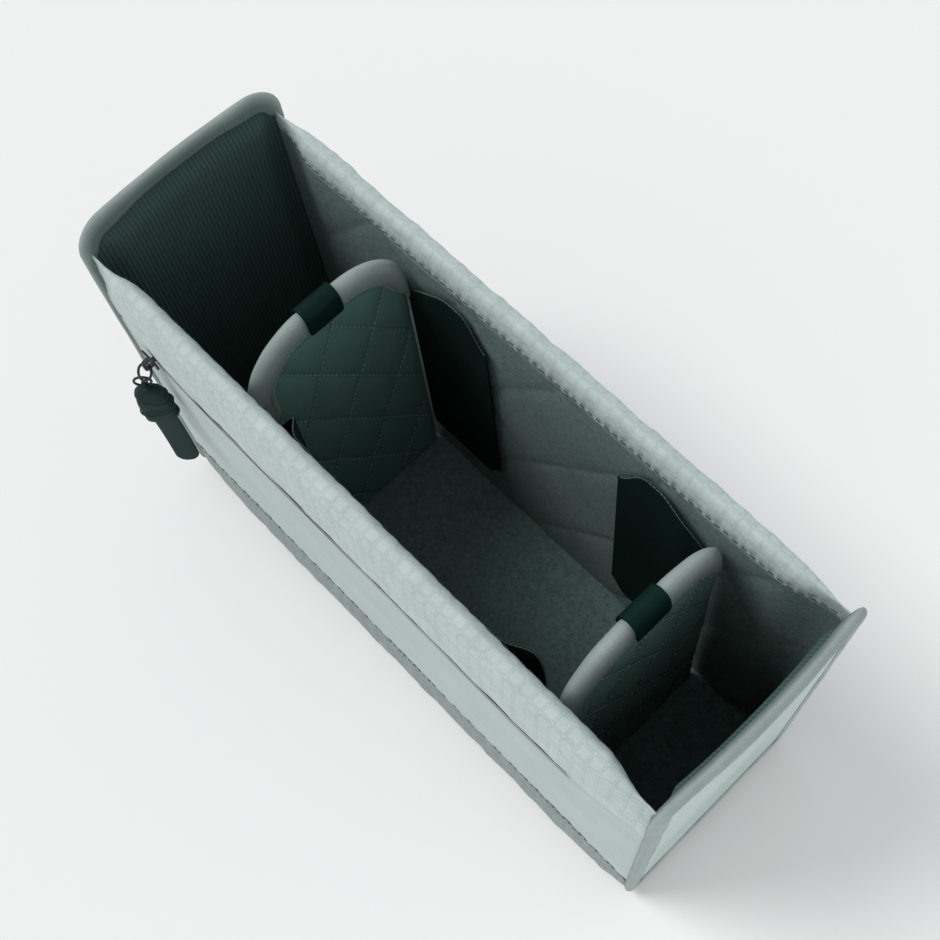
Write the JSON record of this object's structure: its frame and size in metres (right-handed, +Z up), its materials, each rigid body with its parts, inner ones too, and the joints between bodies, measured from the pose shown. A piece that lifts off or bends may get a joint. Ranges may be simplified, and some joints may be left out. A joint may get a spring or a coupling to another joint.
{
  "type": "camera bag insert",
  "caption": "Tall, narrow open-topped padded insert with bound end panels, a zip pocket with puller, and two movable padded dividers with side wings.",
  "frame": {"origin": "middle of the underside, on the surface the insert stands on", "axes": "+X along the insert's length, -Y towards the zip pocket, +Z up towards the open top"},
  "size_m": [0.2992, 0.1174, 0.2],
  "materials": {
    "outer_cloth": "sage grey ripstop nylon with a pale grid",
    "smooth_cloth": "pale sage smooth nylon",
    "binding_tape": "pale sage ribbed binding tape",
    "rib_lining": "dark green-grey ribbed lining",
    "quilt_lining": "brushed loop lining, grey-green",
    "foam": null,
    "board": "thin stiffening board",
    "zip_black": "black zip tape and teeth",
    "black_web": "black webbing",
    "black_metal": "black painted metal",
    "divider_cloth": "dark green brushed loop cloth",
    "hook_tape": "black hook tape"
  },
  "bodies": {
    "case": {"base_cover": "outer_cloth", "front_base_band": "outer_cloth", "back_base_band": "outer_cloth", "base_board": "board", "base_foam": "foam", "base_lining": "quilt_lining", "front_rim_cover": "outer_cloth", "front_pocket_panel": "smooth_cloth", "front_pocket_lining": "rib_lining", "front_wall_board": "board", "front_wall_foam": "foam", "front_wall_lining": "quilt_lining", "back_rim_cover": "outer_cloth", "back_wall_skin": "outer_cloth", "back_wall_board": "board", "back_wall_foam": "foam", "back_wall_lining": "quilt_lining", "left_end_panel": "smooth_cloth", "left_end_lining": "rib_lining", "left_end_binding": "binding_tape", "right_end_panel": "smooth_cloth", "right_end_lining": "rib_lining", "right_end_binding": "binding_tape", "upper_zip_tape": "zip_black", "lower_zip_tape": "zip_black", "upper_zip_teeth": "zip_black", "lower_zip_teeth": "zip_black", "left_zip_stop": "black_metal", "right_zip_stop": "black_metal"},
    "zip_slider": {"zip_slider": "black_metal"},
    "slider_ring": {"slider_ring": "black_metal"},
    "puller": {"puller_ring": "black_metal", "puller_wrap": "black_web", "puller_strap": "black_web"},
    "left_divider": {"left_divider_pad": "divider_cloth", "left_divider_binding": "binding_tape", "left_divider_pull_tab": "black_web"},
    "left_divider_back_wing": {"left_divider_back_wing": "divider_cloth", "left_divider_back_hook_strip": "hook_tape"},
    "left_divider_front_wing": {"left_divider_front_wing": "divider_cloth", "left_divider_front_hook_strip": "hook_tape"},
    "right_divider": {"right_divider_pad": "divider_cloth", "right_divider_binding": "binding_tape", "right_divider_pull_tab": "black_web"},
    "right_divider_back_wing": {"right_divider_back_wing": "divider_cloth", "right_divider_back_hook_strip": "hook_tape"},
    "right_divider_front_wing": {"right_divider_front_wing": "divider_cloth", "right_divider_front_hook_strip": "hook_tape"}
  },
  "joints": [
    {"name": "zip_slide", "type": "slide", "parent": "case", "child": "zip_slider", "axis": [1, 0, 0], "range_m": [0, 0.2259]},
    {"name": "slider_ring_swing", "type": "hinge", "parent": "zip_slider", "child": "slider_ring", "pos_m": [-0.1177, -0.05491, 0.14705], "axis": [-1, 0, 0], "range_deg": [0, 50]},
    {"name": "puller_swing", "type": "hinge", "parent": "slider_ring", "child": "puller", "pos_m": [-0.1177, -0.06035, 0.14264], "axis": [-1, 0, 0], "range_deg": [0, 60]},
    {"name": "left_divider_slide", "type": "slide", "parent": "case", "child": "left_divider", "axis": [1, 0, 0], "range_m": [-0.055, 0.025]},
    {"name": "right_divider_slide", "type": "slide", "parent": "case", "child": "right_divider", "axis": [1, 0, 0], "range_m": [-0.025, 0.03]},
    {"name": "left_divider_back_wing_fold", "type": "hinge", "parent": "left_divider", "child": "left_divider_back_wing", "pos_m": [-0.06515, 0.03865, 0.0338], "axis": [0, 0, -1], "range_deg": [0, 55]},
    {"name": "left_divider_front_wing_fold", "type": "hinge", "parent": "left_divider", "child": "left_divider_front_wing", "pos_m": [-0.06515, -0.03865, 0.0338], "axis": [0, 0, 1], "range_deg": [0, 55]},
    {"name": "right_divider_back_wing_fold", "type": "hinge", "parent": "right_divider", "child": "right_divider_back_wing", "pos_m": [0.09315, 0.03865, 0.0338], "axis": [0, 0, 1], "range_deg": [0, 55]},
    {"name": "right_divider_front_wing_fold", "type": "hinge", "parent": "right_divider", "child": "right_divider_front_wing", "pos_m": [0.09315, -0.03865, 0.0338], "axis": [0, 0, -1], "range_deg": [0, 55]}
  ]
}
